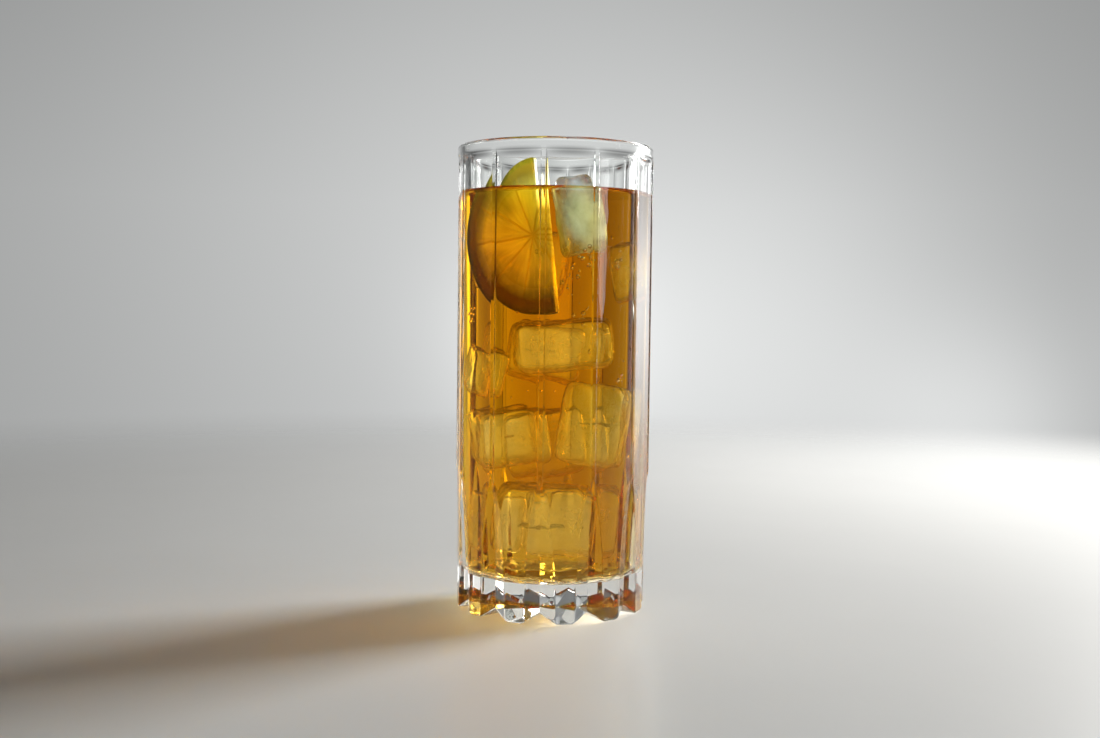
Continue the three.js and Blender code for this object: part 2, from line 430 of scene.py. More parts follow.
def pressed_glass(glass, name, mirror):
    """Pressed soda-lime glass, fire-polished: clear and smooth, with a faint swim from the mould.

    Where the drink wets it, it mirrors next to nothing.
    """
    material, tree = new_material(name)
    place = add(tree, "ShaderNodeTexCoord", out="Object")
    swim = add(tree, "ShaderNodeTexNoise", {"Vector": place, "Scale": 1 / (14 * MM), "Detail": 1.0})
    bump = add(tree, "ShaderNodeBump", {"Height": swim, "Distance": 0.05 * MM, "Strength": 0.35})
    wiped = add(tree, "ShaderNodeTexNoise", {"Vector": place, "Scale": 1 / (22 * MM), "Detail": 3.0})
    rough = add(tree, MAP_RANGE, {
        "Value": wiped, "From Min": 0.45, "From Max": 0.8, "To Min": 0.0, "To Max": 0.035,
    })
    surface = add(tree, "ShaderNodeBsdfPrincipled", {
        "Base Color": (*glass.colour, 1), "Transmission Weight": 1.0, "IOR": 1.52,
        "Roughness": rough, "Normal": bump, "Specular Tint": (mirror, mirror, mirror, 1),
    })
    mixed = lets_lamps_through(tree, surface, *GLASS_PASSES)
    add(tree, "ShaderNodeOutputMaterial", {"Surface": mixed}, out=None)
    return material


def amber_drink(drink):
    """A clear amber long drink: smooth surface, colour by depth as spirits have."""
    material, tree = new_material("amber_long_drink")
    place = add(tree, "ShaderNodeTexCoord", out="Object")
    ripple = add(tree, "ShaderNodeTexNoise", {"Vector": place, "Scale": 1 / (9 * MM), "Detail": 1.0})
    bump = add(tree, "ShaderNodeBump", {"Height": ripple, "Distance": 0.05 * MM, "Strength": 0.25})
    surface = add(tree, "ShaderNodeBsdfPrincipled", {
        "Base Color": (1, 1, 1, 1), "Transmission Weight": 1.0, "IOR": 1.34,
        "Roughness": 0.0, "Normal": bump, "Specular Tint": (0.15, 0.15, 0.15, 1),
    })
    depth = add(tree, "ShaderNodeVolumeAbsorption", {"Color": (*drink.colour, 1), "Density": drink.density})
    mixed = lets_lamps_through(tree, surface, *DRINK_PASSES)
    add(tree, "ShaderNodeOutputMaterial", {"Surface": mixed, "Volume": depth}, out=None)
    return material


def melting_ice(name, cloud_colour, clearest, cloudiest):
    """Wet ice from a tray: clear at the faces, cloudy with fine trapped air in patches."""
    material, tree = new_material(name)
    place = add(tree, "ShaderNodeTexCoord", out="Object")
    cloud = add(tree, "ShaderNodeTexNoise", {
        "Vector": place, "Scale": 1 / (11 * MM), "Detail": 4.0, "Roughness": 0.6,
    })
    from_core = add(tree, "ShaderNodeAttribute", out="Vector", attribute_name="local")
    away = add(tree, VECTOR_MATH, (from_core,), out="Value", operation="LENGTH")
    nearer = add(tree, MATH, (away, -2.2, 1.36), operation="MULTIPLY_ADD")
    milky = add(tree, MATH, (cloud, nearer), operation="ADD")
    clear = add(tree, MAP_RANGE, {
        "Value": milky, "From Min": 0.35, "From Max": 0.8, "To Min": clearest, "To Max": cloudiest,
    })
    pits = add(tree, "ShaderNodeTexNoise", {"Vector": place, "Scale": 1 / (4 * MM), "Detail": 2.0})
    bump = add(tree, "ShaderNodeBump", {"Height": pits, "Distance": 0.15 * MM, "Strength": 0.5})
    rough = add(tree, MAP_RANGE, {
        "Value": cloud, "From Min": 0.45, "From Max": 0.75, "To Min": 0.01, "To Max": 0.2,
    })
    surface = add(tree, "ShaderNodeBsdfPrincipled", {
        "Base Color": (*cloud_colour, 1), "Transmission Weight": clear, "IOR": 1.31,
        "Roughness": rough, "Normal": bump,
        "Specular Tint": (0.4, 0.4, 0.4, 1), "Subsurface Weight": 1.0, "Subsurface Radius": (1.0, 1.0, 1.0),
        "Subsurface Scale": 14 * MM,
    })
    mixed = lets_lamps_through(tree, surface, *ICE_PASSES)
    add(tree, "ShaderNodeOutputMaterial", {"Surface": mixed}, out=None)
    return material


def cut_lime(lime, level):
    """A cut lime: waxy pored rind, pith, and wet flesh of long juice sacs between membranes.

    Rind and pith carry painted shade: they are darkened in the drink and brighten to their own colour 9 mm
    above its surface.
    """
    material, tree = new_material("cut_lime")
    flat = add(tree, "ShaderNodeUVMap", uv_map="slice")
    centred = add(tree, VECTOR_MATH, (flat, (0.5, 0.5, 0)), operation="SUBTRACT")
    out_share = add(tree, VECTOR_MATH, (centred,), out="Value", operation="LENGTH")
    radius = add(tree, MATH, (out_share, 2 * lime.radius), operation="MULTIPLY")
    parts = add(tree, "ShaderNodeSeparateXYZ", {"Vector": centred}, out=None)
    turn = add(tree, MATH, (parts.outputs["Y"], parts.outputs["X"]), operation="ARCTAN2")
    pitch = 2 * math.pi / lime.segments
    off = add(tree, MATH, (turn, pitch / 2, -pitch / 2), operation="WRAP")
    apart = add(tree, MATH, (off,), operation="SINE")
    wide = add(tree, MATH, (apart, radius), operation="MULTIPLY")
    beside = add(tree, MATH, (wide,), operation="ABSOLUTE")
    between = add(tree, MAP_RANGE, {
        "Value": beside, "From Min": 0.15 * MM, "From Max": 0.55 * MM, "To Min": 1.0, "To Max": 0.0,
    })
    core = add(tree, MAP_RANGE, {
        "Value": radius, "From Min": 0.8 * MM, "From Max": 2.4 * MM, "To Min": 1.0, "To Max": 0.0,
    })
    membrane = add(tree, MATH, (between, core), operation="MAXIMUM")
    along = add(tree, MATH, (radius, 1 / (6 * MM)), operation="MULTIPLY")
    around = add(tree, MATH, (turn, 13.0), operation="MULTIPLY")
    sac_place = add(tree, "ShaderNodeCombineXYZ", {"X": along, "Y": around})
    sacs = add(tree, "ShaderNodeTexVoronoi", {
        "Vector": sac_place, "Scale": 1.0, "Randomness": 0.9,
    }, feature="SMOOTH_F1")
    sac_light = add(tree, MAP_RANGE, {
        "Value": sacs, "From Min": 0.1, "From Max": 0.8, "To Min": 1.0, "To Max": 0.8,
    })
    number = add(tree, MATH, (turn, pitch), operation="DIVIDE")
    which = add(tree, MATH, (number,), operation="FLOOR")
    chance = add(tree, "ShaderNodeTexWhiteNoise", {"W": which}, noise_dimensions="1D")
    ripe = add(tree, MAP_RANGE, {"Value": chance, "To Min": 0.8, "To Max": 1.0})
    ripened = add(tree, MATH, (sac_light, ripe), operation="MULTIPLY")
    place = add(tree, "ShaderNodeTexCoord", out="Object")
    depth = add(tree, "ShaderNodeTexNoise", {"Vector": place, "Scale": 1 / (13 * MM), "Detail": 1.0})
    juicy = add(tree, MAP_RANGE, {
        "Value": depth, "From Min": 0.35, "From Max": 0.65, "To Min": 0.26, "To Max": 0.6,
    })
    shade = add(tree, MATH, (ripened, juicy), operation="MULTIPLY")
    flesh = add(tree, VECTOR_MATH, {0: tuple(lime.flesh), "Scale": shade}, operation="SCALE")
    inside = add(tree, "ShaderNodeMix", {
        "Factor": membrane, "A": flesh, "B": (*lime.membrane, 1),
    }, out="Result", data_type="RGBA")
    uneven = add(tree, "ShaderNodeTexNoise", {"Vector": place, "Scale": 1 / (3 * MM), "Detail": 2.0})
    sway = add(tree, MATH, (uneven, 0.8 * MM, -0.4 * MM), operation="MULTIPLY_ADD")
    edge = add(tree, MATH, (radius, sway), operation="ADD")
    # The pith ring is drawn wider than the pith, so that its darker tint paints the shaded band inside the
    # rind.
    pith = add(tree, MAP_RANGE, {
        "Value": edge, "From Min": lime.radius - 10 * MM, "From Max": lime.radius - 4.5 * MM,
    })
    parts = add(tree, "ShaderNodeSeparateXYZ", {"Vector": place}, out=None)
    # Painted shade on rind and pith: darkest below the drink's surface, full brightness 9 mm above it.
    out_of_drink_shade = add(tree, MAP_RANGE, {
        "Value": parts.outputs["Z"], "From Min": level - 1 * MM, "From Max": level + 9 * MM,
        "To Min": lime.drink_shade_share,
    })
    shaded_pith = add(tree, VECTOR_MATH, {0: tuple(lime.pith), "Scale": out_of_drink_shade}, operation="SCALE")
    pale = add(tree, "ShaderNodeMix", {
        "Factor": pith, "A": inside, "B": shaded_pith,
    }, out="Result", data_type="RGBA")
    rind = add(tree, MAP_RANGE, {
        "Value": edge, "From Min": lime.radius - 2.3 * MM, "From Max": lime.radius - 1.5 * MM,
    })
    mottle = add(tree, MAP_RANGE, {
        "Value": uneven, "From Min": 0.3, "From Max": 0.7, "To Min": 0.75, "To Max": 1.2,
    })
    # The rind's own random mottle, times the painted shade in and above the drink.
    rind_mottle_and_shade = add(tree, MATH, (mottle, out_of_drink_shade), operation="MULTIPLY")
    green = add(tree, VECTOR_MATH, {0: tuple(lime.rind), "Scale": rind_mottle_and_shade}, operation="SCALE")
    colour = add(tree, "ShaderNodeMix", {
        "Factor": rind, "A": pale, "B": green,
    }, out="Result", data_type="RGBA")
    pores = add(tree, "ShaderNodeTexVoronoi", {"Vector": place, "Scale": 1 / (1.1 * MM)})
    pored = add(tree, "ShaderNodeMix", {"Factor": rind, "A": sacs, "B": pores})
    bump = add(tree, "ShaderNodeBump", {"Height": pored, "Distance": 0.3 * MM, "Strength": 0.6})
    rough = add(tree, MAP_RANGE, {"Value": pith, "To Min": 0.22, "To Max": 0.42})
    glow = add(tree, MAP_RANGE, {"Value": pith, "To Min": 1.0, "To Max": 0.5})
    surface = add(tree, "ShaderNodeBsdfPrincipled", {
        "Base Color": colour, "Roughness": rough, "IOR": 1.4, "Normal": bump, "Subsurface Weight": glow,
        "Subsurface Radius": (1.0, 0.95, 0.5), "Subsurface Scale": 22 * MM,
    })
    add(tree, "ShaderNodeOutputMaterial", {"Surface": surface}, out=None)
    return material


def satin_floor(stage):
    """Pale satin board: faintly mottled, faded out with distance so that no edge shows."""
    material, tree = new_material("pale_satin_board")
    place = add(tree, "ShaderNodeTexCoord", out="Object")
    mottle = add(tree, "ShaderNodeTexNoise", {"Vector": place, "Scale": 1 / (60 * MM), "Detail": 3.0})
    level = add(tree, MAP_RANGE, {
        "Value": mottle, "From Min": 0.3, "From Max": 0.7, "To Min": 0.98, "To Max": 1.0,
    })
    colour = add(tree, VECTOR_MATH, {0: tuple(stage.floor), "Scale": level}, operation="SCALE")
    surface = add(tree, "ShaderNodeBsdfPrincipled", {"Base Color": colour, "Roughness": 0.45})
    away = add(tree, VECTOR_MATH, (place,), out="Value", operation="LENGTH")
    gone = add(tree, MAP_RANGE, {
        "Value": away, "From Min": stage.floor_solid, "From Max": stage.floor_fade,
    }, interpolation_type="SMOOTHSTEP")
    clear = add(tree, "ShaderNodeBsdfTransparent")
    mixed = add(tree, "ShaderNodeMixShader", (gone, surface, clear))
    add(tree, "ShaderNodeOutputMaterial", {"Surface": mixed}, out=None)
    return material


# The glass


def facet_tree(glass, material):
    """Cuts the panels, grooves and star of the foot into a round glass, by one rule for all round."""
    tree, given = new_tree("Panel facets", {
        "Radius": glass.radius, "Panel Count": glass.panel_count, "Panel Distance": glass.panel_apothem,
        "Band Turn": glass.band_turn, "Band Rounding": glass.band_rounding,
        "Run-out Start": glass.run_out_start, "Run-out End": glass.run_out_end,
        "Bead Height": glass.bead_height, "Bead Depth": glass.bead_depth,
        "Bead Half Width": glass.bead_half_width,
        "Groove Top": glass.groove_top, "Groove Depth": glass.groove_depth,
        "Groove Slope": glass.groove_slope, "Groove Rounding": glass.groove_rounding,
        "Star Depth": glass.star_depth, "Star Half Width": glass.star_half_width,
        "Star Centre": glass.star_centre, "Star Reach": glass.cavity_floor,
        "Rib Half Width": glass.rib_half_width, "Rib Side": glass.rib_side, "Rib Depth": glass.rib_depth,
    })
    place = add(tree, "GeometryNodeInputPosition")
    parts = add(tree, "ShaderNodeSeparateXYZ", {"Vector": place}, out=None)
    x, y, z = parts.outputs
    outer = add(tree, "GeometryNodeInputNamedAttribute", {"Name": "outer"}, data_type="FLOAT")

    # How far round a point lies from the nearest band, and from the middle of its panel.
    front = add(tree, MATH, (y, -1.0), operation="MULTIPLY")
    turn = add(tree, MATH, (x, front), operation="ARCTAN2")
    half_pitch = add(tree, MATH, (math.pi, given["Panel Count"]), operation="DIVIDE")
    low_pitch = add(tree, MATH, (half_pitch, -1.0), operation="MULTIPLY")
    turned = add(tree, MATH, (turn, given["Band Turn"]), operation="SUBTRACT")
    from_band = add(tree, MATH, (turned, half_pitch, low_pitch), operation="WRAP")
    off_band = add(tree, MATH, (from_band,), operation="ABSOLUTE")
    to_panel = add(tree, MATH, (half_pitch, off_band), operation="SUBTRACT")
    sine = add(tree, MATH, (from_band,), operation="SINE")
    side = add(tree, MATH, (sine,), operation="ABSOLUTE")

    # Flat panels with raised ribs between them, faded out under the lip.
    panel_cosine = add(tree, MATH, (to_panel,), operation="COSINE")
    panel = add(tree, MATH, (given["Panel Distance"], panel_cosine), operation="DIVIDE")
    rounding = given["Band Rounding"]
    paneled = add(tree, MATH, (given["Radius"], panel, rounding), operation="SMOOTH_MIN")
    across = add(tree, MATH, (side, given["Radius"]), operation="MULTIPLY")
    off_rib = add(tree, MATH, (across, given["Rib Half Width"]), operation="SUBTRACT")
    beside_rib = add(tree, MAP_RANGE, {
        "Value": off_rib, "From Max": given["Rib Side"], "To Max": given["Rib Depth"],
    }, interpolation_type="SMOOTHSTEP")
    recessed = add(tree, MATH, (paneled, beside_rib), operation="SUBTRACT")
    cut_depth = add(tree, MATH, (given["Radius"], recessed), operation="SUBTRACT")
    faded = add(tree, MAP_RANGE, {
        "Value": z, "From Min": given["Run-out Start"], "From Max": given["Run-out End"],
        "To Min": 1.0, "To Max": 0.0,
    }, interpolation_type="SMOOTHERSTEP")
    kept_depth = add(tree, MATH, (cut_depth, faded), operation="MULTIPLY")
    walled = add(tree, MATH, (given["Radius"], kept_depth), operation="SUBTRACT")

    # The fine line round the lip.
    from_bead = add(tree, MATH, (z, given["Bead Height"]), operation="SUBTRACT")
    off_bead = add(tree, MATH, (from_bead,), operation="ABSOLUTE")
    bead = add(tree, MAP_RANGE, {
        "Value": off_bead, "From Max": given["Bead Half Width"],
        "To Min": given["Bead Depth"], "To Max": 0.0,
    }, interpolation_type="SMOOTHSTEP")
    beaded = add(tree, MATH, (walled, bead), operation="SUBTRACT")

    # Grooves that deepen down each band towards the foot.
    pitch_cosine = add(tree, MATH, (half_pitch,), operation="COSINE")
    ridge = add(tree, MATH, (given["Panel Distance"], pitch_cosine), operation="DIVIDE")
    high = add(tree, MATH, (z, given["Groove Top"]), operation="DIVIDE")
    up = add(tree, MATH, (high, 1.0), operation="MINIMUM")
    up_square = add(tree, MATH, (up, up), operation="MULTIPLY")
    rest = add(tree, MATH, (1.0, up_square), operation="SUBTRACT")
    left = add(tree, MATH, (rest,), operation="SQRT")
    sunk = add(tree, MATH, (given["Groove Depth"], left), operation="MULTIPLY")
    valley = add(tree, MATH, (ridge, sunk), operation="SUBTRACT")
    slope = add(tree, MATH, (given["Groove Slope"],), operation="TANGENT")
    rise = add(tree, MATH, (side, slope), operation="MULTIPLY")
    band_cosine = add(tree, MATH, (from_band,), operation="COSINE")
    spread = add(tree, MATH, (band_cosine, rise), operation="SUBTRACT")
    groove = add(tree, MATH, (valley, spread), operation="DIVIDE")
    softness = given["Groove Rounding"]
    grooved = add(tree, MATH, (beaded, groove, softness), operation="SMOOTH_MIN")
    drawn = add(tree, MATH, (grooved, given["Radius"]), operation="DIVIDE")
    change = add(tree, MATH, (drawn, 1.0), operation="SUBTRACT")
    scale = add(tree, MATH, (change, outer, 1.0), operation="MULTIPLY_ADD")

    # Channels under the foot that meet in a star.
    flat_place = add(tree, "ShaderNodeCombineXYZ", {"X": x, "Y": y})
    away = add(tree, VECTOR_MATH, (flat_place,), out="Value", operation="LENGTH")
    new_away = add(tree, MATH, (away, scale), operation="MULTIPLY")
    out_share = add(tree, MATH, (new_away, given["Radius"]), operation="DIVIDE")
    gain = add(tree, MATH, (1.0, given["Star Centre"]), operation="SUBTRACT")
    depth_share = add(tree, MATH, (out_share, gain, given["Star Centre"]), operation="MULTIPLY_ADD")
    depth = add(tree, MATH, (depth_share, given["Star Depth"]), operation="MULTIPLY")
    steep = add(tree, MATH, (given["Star Depth"], given["Star Half Width"]), operation="DIVIDE")
    aside = add(tree, MATH, (new_away, side), operation="MULTIPLY")
    fall = add(tree, MATH, (aside, steep), operation="MULTIPLY")
    deep = add(tree, MATH, (depth, fall), operation="SUBTRACT")
    channel = add(tree, MATH, (deep, 0.0, softness), operation="SMOOTH_MAX")
    height_share = add(tree, MATH, (z, given["Star Reach"]), operation="DIVIDE")
    below = add(tree, MATH, (1.0, height_share), operation="SUBTRACT")
    keep = add(tree, MATH, (below, 0.0), operation="MAXIMUM")
    raised = add(tree, MATH, (channel, keep), operation="MULTIPLY")
    lift = add(tree, MATH, (raised, outer), operation="MULTIPLY")

    new_x = add(tree, MATH, (x, scale), operation="MULTIPLY")
    new_y = add(tree, MATH, (y, scale), operation="MULTIPLY")
    new_z = add(tree, MATH, (z, lift), operation="ADD")
    new_place = add(tree, "ShaderNodeCombineXYZ", {"X": new_x, "Y": new_y, "Z": new_z})
    cut = add(tree, "GeometryNodeSetPosition", {"Geometry": given["Geometry"], "Position": new_place})
    close_tree(tree, cut, material)
    return tree


def glass_profile(glass):
    """The round glass's section from the middle of the foot, up the outside and down the inside."""
    foot = glass.foot_rounding
    lip = glass.lip / 2
    under = [(r, 0) for r in np.linspace(0, glass.radius - foot, 10)]
    edge = arc(glass.radius - foot, foot, foot, -90, 0, 4)[1:]
    low = [(glass.radius, z) for z in np.linspace(foot, glass.groove_top + 2 * MM, 35)[1:]]
    straight = [(glass.radius, z) for z in np.linspace(low[-1][1], glass.run_out_start - 0.3 * MM, 6)[1:]]
    run_out = [(glass.radius, z) for z in np.linspace(straight[-1][1], glass.height - lip, 28)[1:-1]]
    rim = arc(glass.radius - lip, glass.height - lip, lip, 0, 180, 10)
    inside = cavity_profile(glass, 0, glass.height - lip)[1:]
    outer_count = len(under) + len(edge) + len(low) + len(straight) + len(run_out) + len(rim) // 2
    return under + edge + low + straight + run_out + rim + inside, outer_count


def column_angles(glass, per_panel, crowding):
    """Angles all round the glass, closer together at the bands than on the flats."""
    pitch = 2 * math.pi / glass.panel_count
    along = np.arange(glass.panel_count * per_panel) / per_panel
    return glass.band_turn + pitch * (along - crowding * np.sin(2 * math.pi * along) / (2 * math.pi))


def wet_inside(obj, settings):
    """Gives the part of the inside that the drink wets its own material."""
    glass, drink = settings.glass, settings.drink
    obj.data.materials.append(pressed_glass(glass, "wetted_soda_lime_glass", mirror=0.0))
    inside = glass.radius - glass.lip + 0.01 * MM
    for face in obj.data.polygons:
        x, y, z = face.center
        wet = glass.cavity_floor - 0.1 * MM < z < drink.level and math.hypot(x, y) < inside
        under = z < glass.cavity_floor + 0.1 * MM and face.normal.z < 0
        face.material_index = int(wet and not under and inward(face, x, y))


def inward(face, x, y):
    """Whether a face of the glass looks towards its axis or up from its floor."""
    return face.normal.x * x + face.normal.y * y < 0 or face.normal.z > 0.5


class HIGHBALL_OT_glass(bpy.types.Operator):
    """Builds the panelled glass"""

    bl_idname = "highball.glass"
    bl_label = "Panelled Glass"

    def execute(self, context):
        glass = context.scene.highball.glass
        profile, outer_count = glass_profile(glass)
        radii, heights = np.array(profile).T
        angles = column_angles(glass, per_panel=68, crowding=0.75)
        points, faces = revolved(radii, heights, angles)
        obj = new_object("panelled_glass", points, faces)
        outer = np.zeros(len(points))
        outer[:1 + (outer_count - 1) * len(angles)] = 1
        obj.data.attributes.new("outer", "FLOAT", "POINT").data.foreach_set("value", outer)
        shaped_by(facet_tree(glass, pressed_glass(glass, "pressed_soda_lime_glass", mirror=0.45)), obj)
        obj.data.attributes.remove(obj.data.attributes["outer"])
        wet_inside(obj, context.scene.highball)
        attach(obj, BODY)
        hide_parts("glass")
        return {"FINISHED"}


# Ice


def ice_tree(ice, material):
    """Sets a rounded, melted cube on each point, with the size and turn that the point holds."""
    tree, given = new_tree("Melted cubes", {
        "Rounding": ice.rounding, "Melt": ice.melt, "Melt Size": ice.melt_size, "Crack": ice.crack,
    })
    cube = add(tree, "GeometryNodeMeshCube", {
        "Size": (1, 1, 1), "Vertices X": 16, "Vertices Y": 16, "Vertices Z": 16,
    }, out="Mesh")
    place = add(tree, "GeometryNodeInputPosition")
    flat = add(tree, MATH, {0: 0.5, 1: given["Rounding"]}, operation="SUBTRACT")
    high = add(tree, "ShaderNodeCombineXYZ", {"X": flat, "Y": flat, "Z": flat})
    low = add(tree, VECTOR_MATH, {0: high, "Scale": -1.0}, operation="SCALE")
    capped = add(tree, VECTOR_MATH, (place, high), operation="MINIMUM")
    core = add(tree, VECTOR_MATH, (capped, low), operation="MAXIMUM")
    past = add(tree, VECTOR_MATH, (place, core), operation="SUBTRACT")
    outward = add(tree, VECTOR_MATH, (past,), operation="NORMALIZE")
    skin = add(tree, VECTOR_MATH, {0: outward, "Scale": given["Rounding"]}, operation="SCALE")
    soft = add(tree, VECTOR_MATH, (core, skin), operation="ADD")
    shaped = add(tree, "GeometryNodeSetPosition", {"Geometry": cube, "Position": soft})
    rounded = add(tree, "GeometryNodeStoreNamedAttribute", {
        "Geometry": shaped, "Name": "local", "Value": place,
    }, data_type="FLOAT_VECTOR", domain="POINT")
    turn = add(tree, "GeometryNodeInputNamedAttribute", {"Name": "turn"}, data_type="FLOAT_VECTOR")
    rotation = add(tree, "FunctionNodeEulerToRotation", {"Euler": turn})
    side = add(tree, "GeometryNodeInputNamedAttribute", {"Name": "side"}, data_type="FLOAT_VECTOR")
    placed = add(tree, "GeometryNodeInstanceOnPoints", {
        "Points": given["Geometry"], "Instance": rounded, "Rotation": rotation, "Scale": side,
    })
    real = add(tree, "GeometryNodeRealizeInstances", {"Geometry": placed})
    fine = add(tree, MATH, {0: 1.0, 1: given["Melt Size"]}, operation="DIVIDE")
    hollows = add(tree, "ShaderNodeTexNoise", {"Vector": place, "Scale": fine, "Detail": 1.0}, out="Fac")
    centred = add(tree, MATH, (hollows, 0.55), operation="SUBTRACT")
    depth = add(tree, MATH, {0: given["Melt"], 1: 2.0}, operation="MULTIPLY")
    push = add(tree, MATH, (centred, depth), operation="MULTIPLY")
    normal = add(tree, "GeometryNodeInputNormal")
    offset = add(tree, VECTOR_MATH, {0: normal, "Scale": push}, operation="SCALE")
    melted = add(tree, "GeometryNodeSetPosition", {"Geometry": real, "Offset": offset})

    # A thin crack full of air in the middle of some cubes.
    ball = add(tree, "GeometryNodeMeshIcoSphere", {"Radius": 0.5, "Subdivisions": 4}, out="Mesh")
    hollow = add(tree, "GeometryNodeFlipFaces", {"Mesh": ball})
    tip = add(tree, "FunctionNodeRandomValue", {
        "Min": (-0.1, -0.1, 0.0), "Max": (0.1, 0.1, 3.0), "Seed": 11,
    }, data_type="FLOAT_VECTOR")
    tipped = add(tree, "FunctionNodeEulerToRotation", {"Euler": tip})
    crack_turn = add(tree, "FunctionNodeRotateRotation", {
        "Rotation": rotation, "Rotate By": tipped,
    }, rotation_space="LOCAL")
    wide = add(tree, "GeometryNodeInputNamedAttribute", {"Name": "crack"}, data_type="FLOAT")
    cracked = add(tree, "FunctionNodeCompare", (wide, 0.01), operation="GREATER_THAN")
    deep = add(tree, MATH, (wide, 0.75), operation="MULTIPLY")
    thin = add(tree, "ShaderNodeCombineXYZ", {"X": wide, "Y": deep, "Z": given["Crack"]})
    crack_side = add(tree, VECTOR_MATH, (side, thin), operation="MULTIPLY")
    cracks = add(tree, "GeometryNodeInstanceOnPoints", {
        "Points": given["Geometry"], "Selection": cracked, "Instance": hollow, "Rotation": crack_turn,
        "Scale": crack_side,
    })
    real_cracks = add(tree, "GeometryNodeRealizeInstances", {"Geometry": cracks})
    wander = add(tree, "ShaderNodeTexNoise", {"Vector": place, "Scale": fine, "Detail": 2.0}, out="Color")
    evened = add(tree, VECTOR_MATH, (wander, (0.5, 0.5, 0.5)), operation="SUBTRACT")
    bend = add(tree, VECTOR_MATH, {0: evened, "Scale": 3 * MM}, operation="SCALE")
    bent = add(tree, "GeometryNodeSetPosition", {"Geometry": real_cracks, "Offset": bend})
    whole = add(tree, "GeometryNodeJoinGeometry", {"Geometry": melted})
    tree.links.new(bent, whole.node.inputs["Geometry"])
    close_tree(tree, whole, material)
    return tree


def ice_points(name, cubes):
    """Points that hold each cube's size, turn and crack."""
    centres, sides, turns, cracks = (np.array(column, float) for column in zip(*cubes))
    obj = new_object(name, centres * MM, [])
    attributes = obj.data.attributes
    for label, values in (("side", sides * MM), ("turn", np.radians(turns))):
        attributes.new(label, "FLOAT_VECTOR", "POINT").data.foreach_set("vector", values.ravel())
    attributes.new("crack", "FLOAT", "POINT").data.foreach_set("value", cracks)
    return obj


class HIGHBALL_OT_ice(bpy.types.Operator):
    """Builds the ice cube at the surface and the sunk ice"""

    bl_idname = "highball.ice"
    bl_label = "Ice"

    def execute(self, context):
        ice = context.scene.highball.ice
        # The two ice tints paint the light each lot of ice gets: bluish white at the surface, amber in the
        # drink.
        cloudy = melting_ice("cloudy_tray_ice", ice.cloud, 0.95, 0.22)
        clear = melting_ice("clear_tray_ice", ice.sunk_cloud_amber_lit, 1.0, 0.88)
        top = shaped_by(ice_tree(ice, cloudy), ice_points("ice_at_surface", TOP_ICE))
        sunk = shaped_by(ice_tree(ice, clear), ice_points("sunk_ice", SUNK_ICE))
        for obj in (top, sunk):
            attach(obj, BODY)
        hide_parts("ice_cube")
        return {"FINISHED"}


# Lime


def lime_place(lime):
    """From the slice's own plane to where it stands: its face to -Y, its round side to the left."""
    upright = Matrix.Rotation(math.pi / 2, 4, "X")
    lean = Matrix.Rotation(lime.lean, 4, "Z")
    turn = Matrix.Rotation(-lime.turn, 4, "Z")
    return Matrix.Translation(lime.centre) @ turn @ upright @ lean


def flesh_relief(lime, radius, turn):
    """Bulge of the cut flesh: highest in the middle of a segment, nothing at membranes and rind."""
    pitch = 2 * math.pi / lime.segments
    off = np.abs((turn / pitch + 0.5) % 1.0 - 0.5) * pitch
    across = np.clip(radius * np.sin(off) / (1.6 * MM), 0, 1)
    flesh_edge = lime.radius - 4.2 * MM
    along = np.clip(np.minimum(flesh_edge - radius, radius - 1.2 * MM) / (1.5 * MM), 0, 1)
    return lime.relief * np.sin(across * math.pi / 2) * np.sin(along * math.pi / 2)


def lime_outline(lime):
    """Points of the slice's edge, drawn in by its rounding, each with its outward direction."""
    radius = lime.radius - lime.edge
    cut = lime.past_core - lime.edge
    start = math.acos(cut / radius)
    round_turns = np.linspace(start, 2 * math.pi - start, 200)
    outward = [(math.cos(t), math.sin(t)) for t in round_turns]
    outline = [((radius * u, radius * v), (u, v)) for u, v in outward]
    low, high = outline[-1][0], outline[0][0]
    low_fan = np.linspace(-start, 0, 5)[1:]
    outline += [(low, (math.cos(t), math.sin(t))) for t in low_fan]
    outline += [((cut, y), (1, 0)) for y in np.linspace(low[1], high[1], 50)[1:]]
    outline += [(high, (math.cos(t), math.sin(t))) for t in np.linspace(0, start, 5)[1:-1]]
    return outline


def lime_points(lime):
    """Points of the slice, row by row from the front of the core round the edge to the back of it."""
    half = lime.thickness / 2 - lime.relief
    rows = []
    for side in (1, -1):
        for along in np.linspace(0, 1, 44)[1:]:
            rows.append([(along * x, along * y, side * half) for (x, y), _ in lime_outline(lime)])
        for turn in np.linspace(math.pi / 2, 0, 6)[1:]:
            out, up = lime.edge * math.cos(turn), half - lime.edge + lime.edge * math.sin(turn)
            rows.append([(x + out * u, y + out * v, side * up) for (x, y), (u, v) in lime_outline(lime)])
        if side == 1:
            front_rows = len(rows)
    return rows[:front_rows] + rows[:front_rows - 1:-1]


